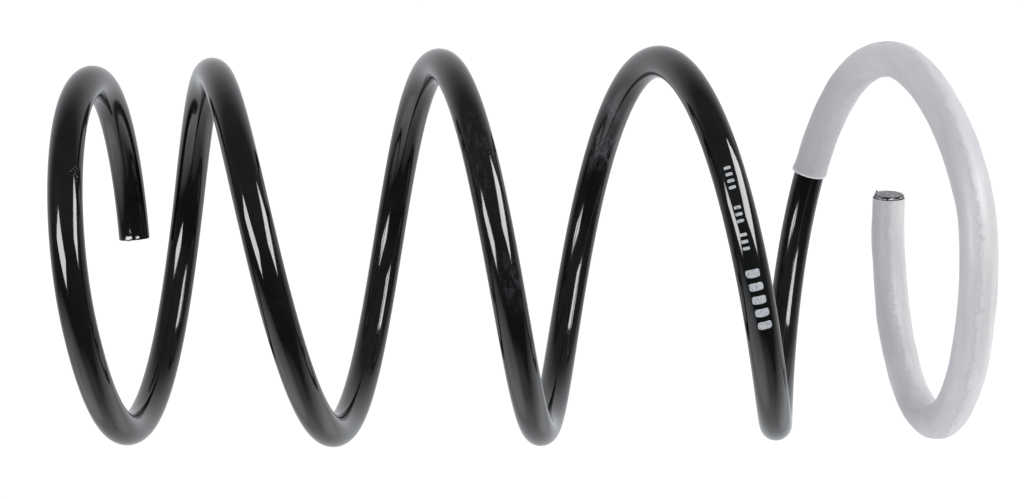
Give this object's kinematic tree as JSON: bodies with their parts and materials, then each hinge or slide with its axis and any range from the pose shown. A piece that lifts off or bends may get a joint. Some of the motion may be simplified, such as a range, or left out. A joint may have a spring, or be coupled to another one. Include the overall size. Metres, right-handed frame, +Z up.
{
  "type": "coil spring",
  "caption": "Helical compression spring for a strut: coated round bar with closed end coils and a clear plastic sleeve over the lower one.",
  "frame": {"origin": "on the coil axis, in the plane that the sleeved lower end coil rests on", "axes": "+Z up along the coil axis towards the bare upper end coil; +X and +Y square to it, with the lower wire tip 74 degrees from +X towards +Y"},
  "size_m": [0.1616, 0.1616, 0.3533],
  "materials": {
    "coated_bar": "glossy black powder coat",
    "sleeve_plastic": "milky translucent, satin",
    "bare_steel": "sheared spring steel at the bar's two end faces",
    "marking_ink": "matt printed ink"
  },
  "bodies": {
    "lower_end": {"lower_end_coil": "coated_bar", "protective_sleeve": "sleeve_plastic"},
    "coil_2_arc_1": {"coil_2_arc_1": "coated_bar"},
    "coil_2_arc_2": {"coil_2_arc_2": "coated_bar"},
    "coil_2_arc_3": {"coil_2_arc_3": "coated_bar"},
    "coil_2_arc_4": {"coil_2_arc_4": "coated_bar"},
    "coil_2_arc_5": {"coil_2_arc_5": "coated_bar"},
    "coil_2_arc_6": {"coil_2_arc_6": "coated_bar"},
    "coil_2_arc_7": {"coil_2_arc_7": "coated_bar"},
    "coil_2_arc_8": {"coil_2_arc_8": "coated_bar"},
    "coil_3_arc_1": {"coil_3_arc_1": "coated_bar"},
    "coil_3_arc_2": {"coil_3_arc_2": "coated_bar"},
    "coil_3_arc_3": {"coil_3_arc_3": "coated_bar"},
    "coil_3_arc_4": {"coil_3_arc_4": "coated_bar"},
    "coil_3_arc_5": {"coil_3_arc_5": "coated_bar"},
    "coil_3_arc_6": {"coil_3_arc_6": "coated_bar"},
    "coil_3_arc_7": {"coil_3_arc_7": "coated_bar"},
    "coil_3_arc_8": {"coil_3_arc_8": "coated_bar"},
    "coil_4_arc_1": {"coil_4_arc_1": "coated_bar"},
    "coil_4_arc_2": {"coil_4_arc_2": "coated_bar"},
    "coil_4_arc_3": {"coil_4_arc_3": "coated_bar"},
    "coil_4_arc_4": {"coil_4_arc_4": "coated_bar"},
    "coil_4_arc_5": {"coil_4_arc_5": "coated_bar"},
    "coil_4_arc_6": {"coil_4_arc_6": "coated_bar"},
    "coil_4_arc_7": {"coil_4_arc_7": "coated_bar"},
    "coil_4_arc_8": {"coil_4_arc_8": "coated_bar"},
    "coil_5_arc_1": {"coil_5_arc_1": "coated_bar"},
    "coil_5_arc_2": {"coil_5_arc_2": "coated_bar"},
    "upper_end": {"upper_end_coil": "coated_bar"}
  },
  "joints": [
    {"name": "compression", "type": "slide", "parent": "lower_end", "child": "upper_end", "axis": [0, 0, -1], "range_m": [0, 0.16], "stiffness_N_per_m": 20000},
    {"name": "coil_2_arc_1_slide", "type": "slide", "parent": "lower_end", "child": "coil_2_arc_1", "axis": [0, 0, -1], "range_m": [0, 0.00069]},
    {"name": "coil_2_arc_2_slide", "type": "slide", "parent": "lower_end", "child": "coil_2_arc_2", "axis": [0, 0, -1], "range_m": [0, 0.00216]},
    {"name": "coil_2_arc_3_slide", "type": "slide", "parent": "lower_end", "child": "coil_2_arc_3", "axis": [0, 0, -1], "range_m": [0, 0.00504]},
    {"name": "coil_2_arc_4_slide", "type": "slide", "parent": "lower_end", "child": "coil_2_arc_4", "axis": [0, 0, -1], "range_m": [0, 0.00927]},
    {"name": "coil_2_arc_5_slide", "type": "slide", "parent": "lower_end", "child": "coil_2_arc_5", "axis": [0, 0, -1], "range_m": [0, 0.01472]},
    {"name": "coil_2_arc_6_slide", "type": "slide", "parent": "lower_end", "child": "coil_2_arc_6", "axis": [0, 0, -1], "range_m": [0, 0.02133]},
    {"name": "coil_2_arc_7_slide", "type": "slide", "parent": "lower_end", "child": "coil_2_arc_7", "axis": [0, 0, -1], "range_m": [0, 0.02896]},
    {"name": "coil_2_arc_8_slide", "type": "slide", "parent": "lower_end", "child": "coil_2_arc_8", "axis": [0, 0, -1], "range_m": [0, 0.03754]},
    {"name": "coil_3_arc_1_slide", "type": "slide", "parent": "lower_end", "child": "coil_3_arc_1", "axis": [0, 0, -1], "range_m": [0, 0.04677]},
    {"name": "coil_3_arc_2_slide", "type": "slide", "parent": "lower_end", "child": "coil_3_arc_2", "axis": [0, 0, -1], "range_m": [0, 0.05605]},
    {"name": "coil_3_arc_3_slide", "type": "slide", "parent": "lower_end", "child": "coil_3_arc_3", "axis": [0, 0, -1], "range_m": [0, 0.06517]},
    {"name": "coil_3_arc_4_slide", "type": "slide", "parent": "lower_end", "child": "coil_3_arc_4", "axis": [0, 0, -1], "range_m": [0, 0.07396]},
    {"name": "coil_3_arc_5_slide", "type": "slide", "parent": "lower_end", "child": "coil_3_arc_5", "axis": [0, 0, -1], "range_m": [0, 0.08242]},
    {"name": "coil_3_arc_6_slide", "type": "slide", "parent": "lower_end", "child": "coil_3_arc_6", "axis": [0, 0, -1], "range_m": [0, 0.0908]},
    {"name": "coil_3_arc_7_slide", "type": "slide", "parent": "lower_end", "child": "coil_3_arc_7", "axis": [0, 0, -1], "range_m": [0, 0.09909]},
    {"name": "coil_3_arc_8_slide", "type": "slide", "parent": "lower_end", "child": "coil_3_arc_8", "axis": [0, 0, -1], "range_m": [0, 0.10717]},
    {"name": "coil_4_arc_1_slide", "type": "slide", "parent": "lower_end", "child": "coil_4_arc_1", "axis": [0, 0, -1], "range_m": [0, 0.11512]},
    {"name": "coil_4_arc_2_slide", "type": "slide", "parent": "lower_end", "child": "coil_4_arc_2", "axis": [0, 0, -1], "range_m": [0, 0.12327]},
    {"name": "coil_4_arc_3_slide", "type": "slide", "parent": "lower_end", "child": "coil_4_arc_3", "axis": [0, 0, -1], "range_m": [0, 0.13143]},
    {"name": "coil_4_arc_4_slide", "type": "slide", "parent": "lower_end", "child": "coil_4_arc_4", "axis": [0, 0, -1], "range_m": [0, 0.13935]},
    {"name": "coil_4_arc_5_slide", "type": "slide", "parent": "lower_end", "child": "coil_4_arc_5", "axis": [0, 0, -1], "range_m": [0, 0.14644]},
    {"name": "coil_4_arc_6_slide", "type": "slide", "parent": "lower_end", "child": "coil_4_arc_6", "axis": [0, 0, -1], "range_m": [0, 0.15181]},
    {"name": "coil_4_arc_7_slide", "type": "slide", "parent": "lower_end", "child": "coil_4_arc_7", "axis": [0, 0, -1], "range_m": [0, 0.15564]},
    {"name": "coil_4_arc_8_slide", "type": "slide", "parent": "lower_end", "child": "coil_4_arc_8", "axis": [0, 0, -1], "range_m": [0, 0.15815]},
    {"name": "coil_5_arc_1_slide", "type": "slide", "parent": "lower_end", "child": "coil_5_arc_1", "axis": [0, 0, -1], "range_m": [0, 0.15965]},
    {"name": "coil_5_arc_2_slide", "type": "slide", "parent": "lower_end", "child": "coil_5_arc_2", "axis": [0, 0, -1], "range_m": [0, 0.1604]}
  ],
  "couplings": [
    {"joint": "coil_2_arc_1_slide", "follows": "compression", "ratio": 0.0012},
    {"joint": "coil_2_arc_2_slide", "follows": "compression", "ratio": 0.0104},
    {"joint": "coil_2_arc_3_slide", "follows": "compression", "ratio": 0.0284},
    {"joint": "coil_2_arc_4_slide", "follows": "compression", "ratio": 0.0548},
    {"joint": "coil_2_arc_5_slide", "follows": "compression", "ratio": 0.0889},
    {"joint": "coil_2_arc_6_slide", "follows": "compression", "ratio": 0.1302},
    {"joint": "coil_2_arc_7_slide", "follows": "compression", "ratio": 0.1779},
    {"joint": "coil_2_arc_8_slide", "follows": "compression", "ratio": 0.2315},
    {"joint": "coil_3_arc_1_slide", "follows": "compression", "ratio": 0.2892},
    {"joint": "coil_3_arc_2_slide", "follows": "compression", "ratio": 0.3472},
    {"joint": "coil_3_arc_3_slide", "follows": "compression", "ratio": 0.4042},
    {"joint": "coil_3_arc_4_slide", "follows": "compression", "ratio": 0.4591},
    {"joint": "coil_3_arc_5_slide", "follows": "compression", "ratio": 0.512},
    {"joint": "coil_3_arc_6_slide", "follows": "compression", "ratio": 0.5644},
    {"joint": "coil_3_arc_7_slide", "follows": "compression", "ratio": 0.6162},
    {"joint": "coil_3_arc_8_slide", "follows": "compression", "ratio": 0.6667},
    {"joint": "coil_4_arc_1_slide", "follows": "compression", "ratio": 0.7164},
    {"joint": "coil_4_arc_2_slide", "follows": "compression", "ratio": 0.7673},
    {"joint": "coil_4_arc_3_slide", "follows": "compression", "ratio": 0.8183},
    {"joint": "coil_4_arc_4_slide", "follows": "compression", "ratio": 0.8678},
    {"joint": "coil_4_arc_5_slide", "follows": "compression", "ratio": 0.9121},
    {"joint": "coil_4_arc_6_slide", "follows": "compression", "ratio": 0.9457},
    {"joint": "coil_4_arc_7_slide", "follows": "compression", "ratio": 0.9696},
    {"joint": "coil_4_arc_8_slide", "follows": "compression", "ratio": 0.9853},
    {"joint": "coil_5_arc_1_slide", "follows": "compression", "ratio": 0.9947},
    {"joint": "coil_5_arc_2_slide", "follows": "compression", "ratio": 0.9994}
  ]
}
